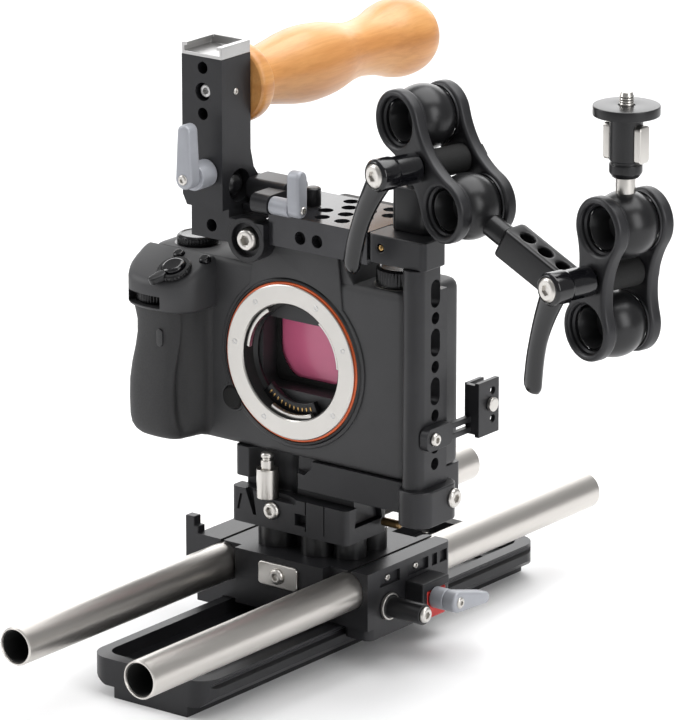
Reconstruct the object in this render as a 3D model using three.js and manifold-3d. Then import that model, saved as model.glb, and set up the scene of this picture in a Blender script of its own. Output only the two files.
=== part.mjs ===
// Camera rig: a mirrorless camera in a cage with a top handle, a quick-release riser on
// 15 mm rods, a dovetail plate and a jointed arm. Millimetres, +Z up, lens looks along -Y.
// Origin: on the underside of the dovetail plate, under the lens mount's front plane.
import * as THREE from "three";
import { mergeVertices } from "three/addons/utils/BufferGeometryUtils.js";
import Module from "manifold-3d";

const wasm = await Module();
wasm.setup();

// ---- driving dimensions ----
const CLEAR = 0.3; // gap round every sliding or turning fit
const ROD = { radius: 7.5, bore: 6.35, x: 30, z: 30, front: -129, rear: 156 };
const PLATE = { front: -86, rear: 129, left: -31, right: 26.8, foot: 17.8, height: 15.2 };
const BRIDGE = { left: -44, right: 40, front: -3, rear: 45, bottom: 15.5, top: 38.5 };
const RECEIVER = { half: 28.2, front: -1, rear: 25, bottom: 47, top: 61 };
const BASE = { left: -28.2, right: 54, front: 1, rear: 38, bottom: 65, top: 77.2 };
const BODY = { left: -70, right: 54.7, front: 2.3, rear: 37, bottom: 77.5, top: 151 };
const LENS_Z = 115.5;
const THROAT = 23.05; // radius of the lens throat
const SENSOR = { width: 35.6, height: 23.8, depth: 18.3 };
const COLUMN = { left: 55.5, right: 65, front: -5, rear: 9, deepRear: 13.5 };
const DECK = { bottom: 171.8, top: 174.6, front: -3, rear: 34, left: -24.3, right: 66, corner: 39.6 };
const RISER = { left: -44, right: -24.5, front: -10, rear: 7.5, bottom: 173.8, top: 233 };
const HANDLE = { x: -34, z: 219, start: 8.4, tilt: -1 };
const BUTTONS = [[-5.2, 9.8], [7.6, 9.8]]; // on the sloped face, from the shutter's axis
const GRIP_TOP = { x: -48.5, y: -9.5, z: 145.7, slope: 24 }; // the sloped face under the shutter
const BALL = 12.7; // radius of each arm ball
const CLAMP = { span: 39.5, end: 12.3, waist: 7.7, inner: 8.2, outer: 13.8, eye: 9.4 };
const ARM_TURN = -13.9; // degrees, the arm clamps' turn about Z
const ARM_FOOT = new THREE.Vector3(52.2, 15, 218); // centre of the first ball
const BAR = new THREE.Vector3(66.1, 0, -33.6); // from the second ball to the far one
const POST = { half: 9, top: 192 };

const FINISH = {
  anodised: [0x1d1d1f, 0.5, 0.7],
  steel: [0xc9c7c2, 0.28, 1],
  grey: [0x9da0a6, 0.45, 0.2],
  red: [0xc8281e, 0.45, 0.3],
  plastic: [0x222224, 0.6, 0],
  rubber: [0x1a1a1b, 0.9, 0],
  wood: [0xd9a560, 0.4, 0],
  sensor: [0x9a2c66, 0.15, 0],
  glass: [0x08080a, 0.1, 0],
};

// ---- solids ----
const vector = (x, y, z) => new THREE.Vector3(x, y, z);
const radians = (degrees) => THREE.MathUtils.degToRad(degrees);

// Turns local X, Y, Z so that local Z runs along the named axis.
const TURN = {
  x: new THREE.Matrix4().makeBasis(vector(0, 1, 0), vector(0, 0, 1), vector(1, 0, 0)),
  y: new THREE.Matrix4().makeBasis(vector(1, 0, 0), vector(0, 0, 1), vector(0, -1, 0)),
  z: new THREE.Matrix4(),
};

function solid(geometry) {
  const bare = geometry.index ? geometry.toNonIndexed() : geometry.clone();
  bare.deleteAttribute("normal");
  bare.deleteAttribute("uv");
  const merged = mergeVertices(bare, 1e-4);
  return new wasm.Manifold(
    new wasm.Mesh({
      numProp: 3,
      vertProperties: merged.attributes.position.array,
      triVerts: new Uint32Array(merged.index.array),
    }),
  );
}

const join = (first, ...rest) => rest.reduce((all, next) => all.add(next), first);
const cut = (first, ...rest) => rest.reduce((all, next) => all.subtract(next), first);

function box([x0, x1], [y0, y1], [z0, z1]) {
  const geometry = new THREE.BoxGeometry(x1 - x0, y1 - y0, z1 - z0);
  return solid(geometry.translate((x0 + x1) / 2, (y0 + y1) / 2, (z0 + z1) / 2));
}

// An outline swept along an axis; the outline's plane is YZ for x, XZ for y and XY for z.
function prism(axis, shape, [from, to], curveSegments = 6) {
  const options = { depth: to - from, bevelEnabled: false, curveSegments };
  const geometry = new THREE.ExtrudeGeometry(shape, options);
  geometry.translate(0, 0, axis === "y" ? -to : from);
  return solid(geometry.applyMatrix4(TURN[axis]));
}

// A cylinder along an axis, round the point (u, v) of the plane across it.
function rod(axis, radius, [u, v], [from, to], sides = 20) {
  const geometry = new THREE.CylinderGeometry(radius, radius, to - from, sides);
  geometry.rotateX(Math.PI / 2);
  const middle = axis === "y" ? -(from + to) / 2 : (from + to) / 2;
  return solid(geometry.translate(u, v, middle).applyMatrix4(TURN[axis]));
}

// A turned solid about local Z; the profile is a list of [radius, height], rising.
function turned(profile, sides = 20) {
  const points = profile.map(([radius, height]) => new THREE.Vector2(radius, height));
  return solid(new THREE.LatheGeometry(points, sides).rotateX(Math.PI / 2));
}

// A ring about local Z.
const ring = (inner, outer, [low, high], sides = 32) =>
  turned([[inner, low], [outer, low], [outer, high], [inner, high], [inner, low]], sides);

function placed(made, axis, [x, y, z]) {
  const matrix = TURN[axis].clone().setPosition(x, y, z);
  return made.transform(matrix.elements);
}

function polygon(points) {
  return new THREE.Shape(points.map(([u, v]) => new THREE.Vector2(u, v)));
}

function roundRect([u0, u1], [v0, v1], r) {
  const shape = new THREE.Shape();
  shape.absarc(u1 - r, v0 + r, r, -Math.PI / 2, 0);
  shape.absarc(u1 - r, v1 - r, r, 0, Math.PI / 2);
  shape.absarc(u0 + r, v1 - r, r, Math.PI / 2, Math.PI);
  shape.absarc(u0 + r, v0 + r, r, Math.PI, Math.PI * 1.5);
  return shape;
}

// A bar outline with round ends of radius r between two points.
function capsule([u0, v0], [u1, v1], r, r1 = r) {
  const turn = Math.atan2(v1 - v0, u1 - u0);
  const shape = new THREE.Shape();
  shape.absarc(u1, v1, r1, turn - Math.PI / 2, turn + Math.PI / 2);
  shape.absarc(u0, v0, r, turn + Math.PI / 2, turn + Math.PI * 1.5);
  return shape;
}

const rig = new THREE.Group();

function piece(name, made, finish, parent = rig) {
  const { vertProperties, triVerts, numProp } = made.getMesh();
  const geometry = new THREE.BufferGeometry();
  const attribute = new THREE.BufferAttribute(vertProperties, numProp);
  geometry.setAttribute("position", attribute);
  geometry.setIndex(new THREE.BufferAttribute(triVerts, 1));
  const [color, roughness, metalness] = FINISH[finish];
  const material = new THREE.MeshStandardMaterial({ color, roughness, metalness });
  const mesh = new THREE.Mesh(geometry, material);
  mesh.name = name;
  parent.add(mesh);
  return mesh;
}

// A button-head screw along local Z, with its hexagon socket.
function screwHead(radius, height) {
  const head = turned(
    [[0, 0], [radius, 0], [radius, height * 0.5], [radius * 0.82, height], [0, height]],
    20,
  );
  return cut(head, rod("z", radius * 0.45, [0, 0], [height * 0.35, height + 1], 6));
}

function screw(name, radius, height, axis, at, finish = "steel") {
  piece(name, placed(screwHead(radius, height), axis, at), finish);
}

// ---- dovetail plate ----
function dovetailPlate() {
  const { left, right, foot, height, front, rear } = PLATE;
  const side = (edge) => [
    [foot, 0], [foot, 4.3], [foot + 4.6, 4.3], [edge, 8], [edge, 11.2],
    [edge - 1.3, 12.2], [edge - 1.3, 13], [edge, 14], [edge, height],
  ];
  const mirror = side(-left).map(([x, z]) => [-x, z]).reverse();
  const bar = prism("y", polygon([...side(right), ...mirror]), [front, rear]);
  const plan = prism("z", roundRect([left, right], [front, rear], 9), [-1, 20], 4);
  const floor = roundRect([left + 4.5, right - 5.5], [front + 5.5, rear - 5.5], 6);
  const channel = prism("z", floor, [9.7, 20], 4);
  const slots = [[-70, -46], [-38, -14], [14, 38], [48, 72], [84, 108]].map(([from, to]) =>
    prism("z", capsule([0, from], [0, to], 3.3), [-1, 12], 4),
  );
  const feet = [-1, 1].map((side) =>
    box([side * 9 - 3, side * 9 + 3], [rear - 30, rear - 18], [8.2, 12]),
  );
  piece("dovetail_plate", cut(bar.intersect(plan), channel, ...slots, ...feet), "anodised");
}

// ---- rod bridge, which slides along the dovetail plate ----
function bridgeBlock() {
  const { left, right, front, rear, bottom, top } = BRIDGE;
  const jaws = [PLATE.left - CLEAR, PLATE.right + CLEAR];
  const ribs = jaws.map((face) => {
    const side = Math.sign(face);
    const crest = face - side * 1.2;
    const points = [
      [face + side, 11.35], [face + side, 13.85], [face, 13.85],
      [crest, 12.8], [crest, 12.4], [face, 11.35],
    ];
    return prism("y", polygon(side > 0 ? points : points.reverse()), [front + 6, rear - 6]);
  });
  const body = join(
    box([left, right], [front, rear], [bottom, top]),
    box([-21.5, 21.5], [front - 4.3, front + 1], [bottom + 0.5, top]),
    box([left, jaws[0]], [front, rear], [11, bottom + 1]),
    prism("z", roundRect([jaws[1], right], [-2, 51], 3), [11, top], 4),
    ...ribs,
  );
  const bores = [-1, 1].flatMap((side) => [
    rod("y", ROD.radius + CLEAR, [side * ROD.x, ROD.z], [-20, 60], 24),
    box([side * 31.2 - 0.8, side * 31.2 + 0.8], [-20, 60], [36, 40]),
  ]);
  const pockets = [[5, 17.5], [22.5, 36], [38.4, 41.6], [43.4, 48]].map(([from, to]) =>
    box([right - 1.4, right + 1], [from, to], [31.2, 36]),
  );
  piece("bridge_block", cut(body, ...bores, ...pockets), "anodised");
}

function bridgeTrim() {
  const noseFace = BRIDGE.front - 4.3;
  const plateFace = noseFace - 1.2;
  const outline = roundRect([-9.3, 9.7], [26.6, 36.1], 1.8);
  piece("front_plate", prism("y", outline, [plateFace, noseFace], 4), "steel");
  screw("front_plate_screw", 3.2, 1.6, "y", [0.2, plateFace, 31.3]);

  const knob = turned([
    [0, 0], [4.8, 0], [4.8, 1.5], [4.1, 1.5], [4.1, 17.2], [2.8, 17.2], [2.8, 18.8], [0, 18.8],
  ], 16);
  piece("rod_clamp_knob", placed(knob, "x", [BRIDGE.right + CLEAR, 10, 22.7]), "anodised");

  const wall = BRIDGE.right;
  const housing = cut(
    box([wall, 48.6], [21, 38], [17, 29.8]),
    box([wall + 1.9, 50], [24, 40], [16, 26.2]),
  );
  piece("lock_housing", housing, "anodised");
  piece("lock_tab", box([44.3, 48.2], [24.3, 36.4], [14.6, 25.9]), "red");

  const { left } = BRIDGE;
  const tab = prism("y", polygon([
    [left - 6.5, 27], [left, 27], [left, 41], [left - 2, 41], [left - 2, 44.6], [left - 6.5, 44.6],
  ]), [-2, 2.2]);
  piece("side_tab", tab, "anodised");
}

// A cam lever along local Z: a hub that stands on its base and an arm across its far end.
function camLever(hub, length, tip, arm, thickness, taper) {
  const outline = capsule([0, 0], tip, arm, arm * taper);
  return join(
    rod("z", hub, [0, 0], [0, length], 20),
    prism("z", outline, [length - thickness, length], 5),
  );
}

function lockLever() {
  const lever = camLever(4.25, 12, [17.5, -2.8], 4.25, 6.5, 0.5);
  piece("lock_lever", placed(lever, "x", [48.6, 29, 22.9]), "grey");
}

function rods() {
  for (const [name, side] of [["rod_left", -1], ["rod_right", 1]]) {
    const tube = ring(ROD.bore, ROD.radius, [-ROD.rear, -ROD.front], 24);
    piece(name, placed(tube, "y", [side * ROD.x, 0, ROD.z]), "steel");
  }
}

// ---- riser and quick-release receiver ----
function riserSpacer() {
  const columns = [
    [-12, 9, 8.5], [8, 7, 6.5], [20, 12, 6.5], [-16, 25, 7], [0, 27, 8], [20, 26, 6],
  ];
  const web = box([-16, 21], [9, 26], [BRIDGE.top, RECEIVER.bottom]);
  const round = columns.map(([x, y, r]) =>
    rod("z", r, [x, y], [BRIDGE.top, RECEIVER.bottom], 16),
  );
  piece("riser_spacer", join(web, ...round), "anodised");
}

function receiver() {
  const { half, front, rear, bottom, top } = RECEIVER;
  const body = prism("z", roundRect([-half, half], [front, rear], 2.2), [bottom, top], 3);
  const channel = prism("x", polygon([[4.2, 53], [21.8, 53], [20, 62], [6, 62]]), [-40, 40]);
  const ledge = rod("z", 15, [-6, -12.6], [58.9, 70], 28);
  const seat = rod("z", 4.6, [-11.5, 0.5], [58.9, 70], 20);
  const square = box([3, 8], [-2, 2.5], [50.8, 55.6]);
  const notchShape = polygon([[-17.4, 51], [-15.9, 51], [-17.6, 62], [-21.6, 62]]);
  const notch = prism("y", notchShape, [-3, 1.2]);
  const markShape = polygon([[-25.4, 52], [-24.2, 52], [-22.6, 58.5], [-23.8, 58.5]]);
  const mark = prism("y", markShape, [-3, -0.2]);
  const slits = [[8, 8.5], [17, 17.5]].map((x) => box(x, [-3, 0], [49, 62]));
  const made = cut(body, channel, ledge, seat, square, notch, mark, ...slits);
  piece("receiver", made, "anodised");
  screw("receiver_screw", 3.6, 1.8, "y", [-8, front, 54.5]);

  const at = [-11.5, 0.5, 58.9];
  const sleeve = turned([[0, 0], [4.25, 0], [4.25, 11.9], [2.8, 11.9], [2.8, 1.7], [0, 1.7]]);
  piece("pin_sleeve", placed(sleeve, "z", at), "steel");
  const plunger = turned([
    [0, 5.2], [2.5, 5.2], [2.5, 15.2], [2, 15.6], [2, 16.2], [2.5, 16.6], [2.5, 17.8],
    [2, 18.3], [0, 18.3],
  ], 20);
  piece("release_plunger", placed(plunger, "z", at), "steel");
}

// ---- cage ----
function cageBase() {
  const { left, right, front, rear, bottom, top } = BASE;
  const plate = prism("z", roundRect([left, right], [front, rear], 2.5), [bottom, top], 3);
  const wedge = polygon([
    [4.8, 53.4], [21.2, 53.4], [19.5, 61], [19.5, 66], [6.5, 66], [6.5, 61],
  ]);
  const foot = prism("x", wedge, [-26, 26]);
  const scoop = rod("z", 13, [-9, -4], [60, 90], 32);
  const window = prism("z", capsule([18, 26], [40, 26], 4), [60, 90], 6);
  const relief = polygon([[-14, 74], [6, 71], [9.5, 74.5], [9.5, 80], [-14, 80]]);
  const step = prism("y", relief, [-2, 5]);
  piece("cage_base", cut(join(plate, foot), scoop, window, step), "anodised");
}

function cageSide() {
  const shoe = prism("z", roundRect([54.3, 69], [-7, 18], 6.5), [63, BASE.top], 5);
  piece("cage_foot", shoe, "anodised");
  screw("foot_screw", 3.8, 1.6, "x", [69, 12.7, 71.5]);

  const { left, right, front, rear, deepRear } = COLUMN;
  const nose = (right - left) / 2;
  const outline = (back) => {
    const shape = new THREE.Shape();
    shape.absarc(left + nose, front + nose, nose, Math.PI, Math.PI * 2);
    shape.lineTo(right, back);
    shape.lineTo(left, back);
    return shape;
  };
  const blade = join(
    prism("z", outline(rear), [BASE.top, 163.4], 8),
    prism("z", outline(deepRear), [BASE.top, 154], 8),
  );
  const openings = [];
  for (let i = 0; i < 8; i += 1) {
    const z = 86 + i * 9.6;
    const shape = i % 2 ? capsule([6, z - 2.6], [6, z + 2.6], 2.9) : capsule([6, z], [6, z], 2.4);
    openings.push(prism("x", shape, [50, 70], 4));
  }
  piece("cage_column", cut(blade, ...openings), "anodised");

  const plan = roundRect([DECK.corner, DECK.right], [DECK.front, 12], 2.4);
  const corner = prism("z", plan, [163.4, DECK.top], 4);
  piece("corner_block", cut(corner, rod("y", 1.7, [45.5, 169.5], [-5, 3], 12)), "anodised");
}

function topPlate() {
  const { left, right, front, rear, bottom, top } = DECK;
  const edge = DECK.corner - CLEAR;
  const outline = polygon([
    [left, 2], [-7.7, 2], [-7.7, front], [edge, front], [edge, 12 + CLEAR],
    [right, 12 + CLEAR], [right, rear - 4], [right - 4, rear], [left + 4, rear], [left, rear - 4],
  ]);
  const plate = prism("z", outline, [bottom, top]);
  const lip = box([-7.7, edge], [front, 1.2], [162, bottom + 1]);
  const grid = [];
  [4.5, 13, 21.5, 29].forEach((y, row) => {
    for (let x = row % 2 ? 7.5 : 12.3; x < 35; x += 9.6) grid.push([x, y]);
  });
  const holes = grid.map(([x, y]) => rod("z", 3.1, [x, y], [170, 180], 10));
  const threads = [7.5, 15.6].map((x) => rod("y", 2.6, [x, 167], [-5, 3], 14));
  piece("top_plate", cut(join(plate, lip), ...holes, ...threads), "anodised");

  const knob = turned([[0, 0], [3.2, 0], [3.2, 6.8], [2.6, 7.4], [0, 7.4]], 18);
  piece("stop_knob", placed(knob, "z", [0, 14.7, top + CLEAR]), "anodised");
}

// ---- handle ----
function handleBracket() {
  const beam = box([-43, -7.9], [-6, 1.7], [160.7, 170.3]);
  const shelf = box([-43, -24.6], [-6, 28], [165, RISER.bottom]);
  const cup = rod("y", 8.8, [-16.6, 162.8], [-6, 1.7], 28);
  const recess = rod("y", 6.8, [-16.6, 162.8], [-8, -3.2], 28);
  const thread = rod("y", 2.5, [-33.1, 166], [-8, 0], 14);
  piece("handle_bracket", cut(join(beam, shelf, cup), recess, thread), "anodised");
  screw("bracket_screw", 4.7, 3.4, "y", [-16.6, -3.2, 162.8]);
}

function handleRiser() {
  const { left, right, front, rear, bottom, top } = RISER;
  const outline = polygon([
    [front, bottom], [28, bottom], [28, 179], [19, 180], [13, 182.8], [9.4, 187.5], [rear, 195],
    [rear, top], [front, top],
  ]);
  const post = prism("x", outline, [left, right]);
  const pocket = rod("x", 6.5, [0.5, 182], [right - 4, right + 1], 24);
  const holes = [[1.5, 229.8], [2.6, 219.8], [1.5, 209.8]].map(([r, z]) =>
    rod("y", r, [-33.8, z], [front - 1, front + 7], 14),
  );
  const chamfer = polygon([
    [left - 1, bottom - 1], [left + 2.6, bottom - 1], [left - 1, bottom + 6],
  ]);
  const toe = prism("y", chamfer, [-12, 30]);
  piece("handle_riser", cut(post, pocket, ...holes, toe), "anodised");

  const shoe = box([left, right], [front, rear], [top, top + 4.8]);
  const slot = box([left + 1.2, right - 1.2], [front - 1, rear - 1], [top + 1.4, top + 3.5]);
  const mouth = box([left + 2.6, right - 2.6], [front - 1, rear - 1], [top + 1.4, top + 6]);
  piece("cold_shoe", cut(shoe, slot, mouth), "steel");

  const lever = camLever(5.4, 14.4, [0, 18.5], 4, 6.2, 0.74);
  piece("riser_lever", placed(lever, "y", [-32, front - CLEAR, 188]), "grey");

  const clamp = prism("x", roundRect([4, 20], [174.9, 184], 3), [-24.2, -6.5], 5);
  const lug = prism("x", roundRect([-8.4, 6], [174.9, 182.4], 3), [-12.5, -4.5], 5);
  piece("top_clamp", join(clamp, lug), "anodised");
  const cross = camLever(3.5, 15.2, [0, 12], 3.2, 7, 1);
  piece("top_clamp_lever", placed(cross, "x", [-4.2, -4.5, 178.5]), "grey");
}

function handleGrip() {
  const marks = [
    [15.2, 0], [16, 3], [15.6, 8], [11.6, 13], [11.6, 19], [14.2, 34], [15.2, 44], [14.2, 57],
    [11.8, 68], [11.3, 77], [12.6, 88], [15.2, 98], [15.8, 105], [14.8, 112], [11.6, 117.5],
    [6, 120.2],
  ].map(([radius, height]) => new THREE.Vector2(radius, height));
  const flank = new THREE.SplineCurve(marks).getPoints(16).map(({ x, y }) => [x, y]);
  const wood = turned([[0, 0], ...flank, [0, 120.6]], 16);
  const grip = piece("handle_grip", wood, "wood");
  grip.rotation.x = -Math.PI / 2 + radians(HANDLE.tilt);
  grip.position.set(HANDLE.x, HANDLE.start, HANDLE.z);
}

// ---- cable clamp on the cage column ----
function cableClamp() {
  const side = COLUMN.right;
  const tab = prism("x", roundRect([-3.5, 13], [93, 102], 3), [side, side + 3.4], 4);
  const arms = [94.6, 98.8].map((z) => box([side + 1, side + 3.4], [9, 25.5], [z, z + 2.2]));
  const face = box([side + 1, 72.4], [24, 26.4], [94, 113.5]);
  const wall = box([70.4, 72.4], [24, 37], [93, 114.5]);
  const threads = [98.8, 110].map((z) => rod("x", 1.6, [33, z], [68, 75], 12));
  const eye = rod("x", 1.8, [31.5, 105], [68, 75], 16);
  piece("cable_clamp_base", cut(join(tab, ...arms, face, wall), eye, ...threads), "anodised");
  const jaw = box([63.4, 65.4], [27, 37], [96, 113]);
  piece("cable_clamp_jaw", cut(jaw, rod("x", 1.8, [31.5, 105], [60, 70], 16)), "anodised");
  const bolt = turned([[0, 0], [1.5, 0], [1.5, 10.7], [2.8, 10.7], [2.8, 12.4], [0, 12.4]], 20);
  piece("cable_clamp_screw", placed(bolt, "x", [62, 31.5, 105]), "steel");
}

// ---- camera ----
function cameraBody() {
  const { left, right, front, rear, bottom, top } = BODY;
  const shell = prism("z", roundRect([left, right], [front, rear], 5), [bottom, top], 5);
  const hump = prism("y", polygon([
    [-25, top - 2], [30, top - 2], [22, 164], [17, 171.3], [-12, 171.3], [-17, 164],
  ]), [front + 0.6, 40]);
  const half = SENSOR.width / 2 + CLEAR;
  const tall = SENSOR.height / 2 + CLEAR;
  const throat = rod("y", 24.6, [0, LENS_Z], [0, 8.5], 28);
  const lightBox = prism("y", roundRect([-19.5, 19.5], [LENS_Z - 14, LENS_Z + 14], 3), [5, 17], 3);
  const sensorBay = box([-half, half], [5, SENSOR.depth + 1.8], [LENS_Z - tall, LENS_Z + tall]);
  const screenBay = box([-30.5, 48.5], [35.4, 45], [82.5, 134.5]);
  const made = cut(join(shell, hump), throat, lightBox, sensorBay, screenBay);
  piece("camera_body", made, "plastic");

  const eyecup = prism("y", roundRect([-14, 19], [151.8, 171], 5), [40, 49], 5);
  piece("eyecup", cut(eyecup, prism("y", roundRect([-8, 13], [155, 167], 3), [44, 50], 4)), "rubber");
}

function gripShell() {
  const plan = prism("z", roundRect([-73.8, -42], [-16.4, 2], 9), [BODY.bottom, 131], 8);
  const neck = box([-51, -42], [-11, 2], [100, 140]);
  const { x, y, z, slope } = GRIP_TOP;
  const rise = Math.tan(radians(slope));
  const lip = -17.3;
  const overhang = prism("x", polygon([
    [lip + 1.5, 137], [2, 137], [2, z + (2 - y) * rise], [lip, z + (lip - y) * rise], [lip, 141],
  ]), [-68, -37.6]);
  const groove = rod("z", 3.2, [-47, -16], [90, 130], 16);
  const dialSeat = rod("z", 8.4, [-59.5, -6.6], [130, 137.6], 24);
  const doorBay = box([-68.4, -44.6], [-11.4, 1.9], [BODY.bottom - 1, BODY.bottom + 2]);
  const holes = join(
    rod("z", 3.4, [0, 0], [-4.6, 4], 16),
    ...BUTTONS.map((at) => rod("z", 2.4, at, [-2.3, 4], 16)),
  );
  const wells = holes.rotate([slope, 0, 0]).translate([x, y, z]);
  const made = cut(join(plan, neck, overhang), groove, dialSeat, doorBay, wells);
  piece("grip_shell", made, "rubber");

  const dial = turned([[0, 0], [7.6, 0], [8, 0.6], [8, 3.9], [7.6, 4.5], [0, 4.5]], 24);
  piece("front_dial", placed(dial, "z", [-59.5, -6.6, 131.9]), "plastic");
  piece("battery_door", box([-68, -45], [-11, 1.5], [BODY.bottom, BODY.bottom + 1.7]), "plastic");

  const release = new THREE.Group();
  release.position.set(x, y, z);
  release.rotation.x = radians(slope);
  rig.add(release);
  const collar = ring(4.9, 7, [CLEAR, 2.4], 24);
  const finger = prism("z", capsule([-2, -6], [-3.5, -9], 1.7), [CLEAR, 2.4], 4);
  piece("power_lever", join(collar, finger), "plastic", release);
  const shutter = turned([[0, -3.4], [3, -3.4], [3, 1.2], [4.5, 1.2], [4.5, 3.4], [3.6, 4.2], [0, 4.2]]);
  piece("shutter_button", shutter, "steel", release);
  BUTTONS.forEach(([across, back], i) => {
    const button = turned([[0, -1.2], [2.1, -1.2], [2.1, 1], [1.7, 1.4], [0, 1.4]], 16);
    const made = button.translate([across, back, 0]);
    piece(`custom_button_${i + 1}`, made, "plastic", release);
  });
}

function knurledDial(radius, height) {
  return turned([
    [0, 0], [radius, 0], [radius, height - 1.2], [radius - 0.8, height], [0, height],
  ], 24);
}

function controls() {
  const deck = BODY.top + CLEAR;
  piece("mode_dial", placed(knurledDial(8.2, 3.5), "z", [-56, 14, deck]), "plastic");
  piece("exposure_dial", placed(knurledDial(6.8, 4.6), "z", [-61, 29.6, deck]), "plastic");
  piece("drive_dial", placed(knurledDial(9.8, 7), "z", [42, 15.5, deck]), "plastic");
  const wheel = placed(ring(4, 11, [-3, 0], 18), "y", [-51, BODY.rear + CLEAR, 101]);
  piece("control_wheel", wheel, "plastic");
  const screen = prism("y", roundRect([-30, 48], [83, 134], 2.5), [35.8, 41], 3);
  piece("lcd_screen", screen, "glass");
}

function lensMount() {
  const at = [0, 0, LENS_Z];
  piece("mount_ring", placed(ring(24.6, 31.7, [-BODY.front, -0.9], 28), "y", at), "red");
  const flange = join(ring(THROAT, 30.75, [-0.9, 0], 24), ring(THROAT, 24.3, [-6, 0], 24));
  const lugs = [28, 148, 268].map((middle) => {
    const lug = new THREE.Shape();
    const [from, to] = [radians(middle - 26), radians(middle + 26)];
    lug.absarc(0, 0, THROAT + 0.3, from, to);
    lug.absarc(0, 0, 21.2, to, from, true);
    return prism("z", lug, [-3.6, -1.6], 4);
  });
  piece("lens_mount", placed(join(flange, ...lugs), "y", at), "steel");

  const { width, height, depth } = SENSOR;
  const [across, up] = [width / 2, height / 2];
  const chip = box([-across, across], [depth, depth + 1.4], [LENS_Z - up, LENS_Z + up]);
  piece("image_sensor", chip, "sensor");
}

// ---- jointed arm ----
const ball = () => solid(new THREE.SphereGeometry(BALL, 14, 8));

function armPost() {
  const [x, y, top] = [ARM_FOOT.x, ARM_FOOT.y, POST.top];
  const square = roundRect([x - POST.half, x + POST.half], [y - POST.half, y + POST.half], 3.5);
  const block = prism("z", square, [DECK.top, top], 4);
  const stud = rod("z", 4.5, [x, y], [top - 1, ARM_FOOT.z - 8], 20);
  const shoulder = rod("z", 6.5, [x, y], [top - 1, top + 3], 20);
  piece("arm_post", join(block, shoulder, stud, ball().translate(ARM_FOOT.toArray())), "anodised");
}

// The outline of a clamp plate: two round ends joined by a waist, long side along U.
function clampOutline() {
  const reach = CLAMP.span / 2;
  const { end, waist } = CLAMP;
  const scoop = (reach ** 2 + waist ** 2 - end ** 2) / (2 * (end - waist));
  const centre = waist + scoop;
  const lean = Math.atan2(centre, reach);
  const shape = new THREE.Shape();
  shape.absarc(reach, 0, end, lean - Math.PI, Math.PI - lean);
  shape.absarc(0, centre, scoop, -lean, lean - Math.PI, true);
  shape.absarc(-reach, 0, end, lean, Math.PI * 2 - lean);
  shape.absarc(0, -centre, scoop, Math.PI - lean, lean, true);
  return shape;
}

// One pair of clamp plates and its lever, in a group whose X runs from ball to ball.
function armClamp(prefix, group, leverTip) {
  const reach = CLAMP.span / 2;
  const seat = solid(new THREE.SphereGeometry(BALL + 0.7, 14, 8));
  const seats = [-reach, reach].flatMap((x) => [
    seat.translate([x, 0, 0]),
    rod("y", CLAMP.eye, [x, 0], [-20, 20], 16),
  ]);
  const slab = (from, to) => prism("y", clampOutline(), [from, to], 5);
  const hole = rod("y", 3.6, [0, 0], [-20, 20], 12);
  const { inner, outer } = CLAMP;
  piece(`${prefix}_front_plate`, cut(slab(-outer, -inner), ...seats, hole), "anodised", group);
  piece(`${prefix}_back_plate`, cut(slab(inner, outer), ...seats, hole), "anodised", group);
  const hub = turned([
    [0, -26.5], [3.2, -26.5], [3.2, 1], [5.8, 1.6], [5.8, 20.5], [4.6, 22], [0, 22],
  ], 20);
  const arm = prism("z", capsule([0, 0], leverTip, 6.2, 4.2), [13.6, 20.8], 6);
  const lever = placed(join(hub, arm), "y", [0, -outer + CLEAR, 0]);
  piece(`${prefix}_lever`, lever, "plastic", group);
}

function clampGroup(centre, lean) {
  const group = new THREE.Group();
  group.position.copy(centre);
  group.rotation.order = "ZYX";
  group.rotation.z = radians(ARM_TURN);
  group.rotation.y = lean;
  rig.add(group);
  return group;
}

// The point at a signed distance along and above, in the clamps' turned plane.
function armPoint(from, along, up) {
  const turn = radians(ARM_TURN);
  return from.clone().add(vector(along * Math.cos(turn), along * Math.sin(turn), up));
}

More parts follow.
